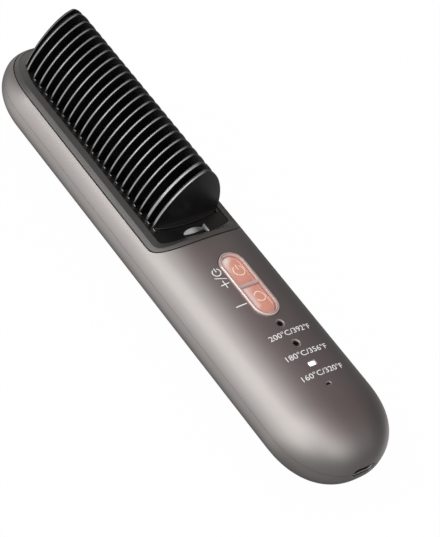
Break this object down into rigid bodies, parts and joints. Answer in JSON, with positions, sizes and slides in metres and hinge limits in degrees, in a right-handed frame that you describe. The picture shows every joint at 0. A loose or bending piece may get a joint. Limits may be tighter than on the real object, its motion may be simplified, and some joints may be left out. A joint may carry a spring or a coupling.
{
  "type": "cordless hair straightening brush",
  "caption": "Cordless hair straightening brush: arched comb fins over a heated bar in a long rounded handle, with two keys, indicator windows and a USB-C charging socket.",
  "frame": {"origin": "centre of the flat of the back, at the middle of the overall length and width, lying on its back with the fins up", "axes": "+X from the comb's head to the charging end, +Y across the body, +Z out of the comb fins"},
  "size_m": [0.2049, 0.0442, 0.0456],
  "materials": {
    "satin_body": "satin metallic taupe lacquer on moulded plastic",
    "bezel": "satin dark grey plastic",
    "tray": "satin black heat-resistant plastic",
    "fins": "satin black heat-resistant plastic",
    "coated_aluminium": "black ceramic coating",
    "heater_ceramic": "fired ceramic",
    "sheet_steel": "pressed sheet",
    "black_plastic": "matte",
    "white_plastic": "matte",
    "key_rim": "clear gloss over rose gold",
    "keys": "rose gold metallic",
    "board": "solder mask",
    "light_pipe": "translucent",
    "cell_wrap": "shrink sleeve",
    "socket_metal": "bright plated"
  },
  "bodies": {
    "housing": {"upper_shell": "satin_body", "back_shell": "satin_body", "comb_bezel": "bezel", "comb_tray": "tray", "comb_fin_01": "fins", "comb_fin_02": "fins", "comb_fin_03": "fins", "comb_fin_04": "fins", "comb_fin_05": "fins", "comb_fin_06": "fins", "comb_fin_07": "fins", "comb_fin_08": "fins", "comb_fin_09": "fins", "comb_fin_10": "fins", "comb_fin_11": "fins", "comb_fin_12": "fins", "comb_fin_13": "fins", "comb_fin_14": "fins", "comb_fin_15": "fins", "comb_fin_16": "fins", "comb_fin_17": "fins", "comb_fin_18": "fins", "comb_fin_19": "fins", "comb_fin_20": "fins", "comb_fin_21": "fins", "comb_fin_22": "fins", "heating_core": "coated_aluminium", "ceramic_heater": "heater_ceramic", "heater_wedge": "sheet_steel", "heat_shield": "sheet_steel", "thermistor": "black_plastic", "thermal_fuse": "white_plastic", "key_rim": "key_rim", "power_plus_switch": "black_plastic", "minus_switch": "black_plastic", "main_board": "board", "charge_board": "board", "light_pipe_high": "light_pipe", "light_pipe_medium": "light_pipe", "light_pipe_low": "light_pipe", "light_pipe_charge": "light_pipe", "indicator_led_high": "white_plastic", "indicator_led_medium": "white_plastic", "indicator_led_low": "white_plastic", "indicator_led_charge": "white_plastic", "battery_cell_left": "cell_wrap", "battery_cell_right": "cell_wrap", "battery_cradle": "black_plastic", "usb_c_socket": "socket_metal", "usb_c_tongue": "black_plastic"},
    "power_plus_key": {"power_plus_key": "keys"},
    "minus_key": {"minus_key": "keys"}
  },
  "joints": [
    {"name": "power_plus_press", "type": "slide", "parent": "housing", "child": "power_plus_key", "axis": [0, 0, -1], "range_m": [0, 0.0006], "stiffness_N_per_m": 2000},
    {"name": "minus_press", "type": "slide", "parent": "housing", "child": "minus_key", "axis": [0, 0, -1], "range_m": [0, 0.0006], "stiffness_N_per_m": 2000}
  ]
}
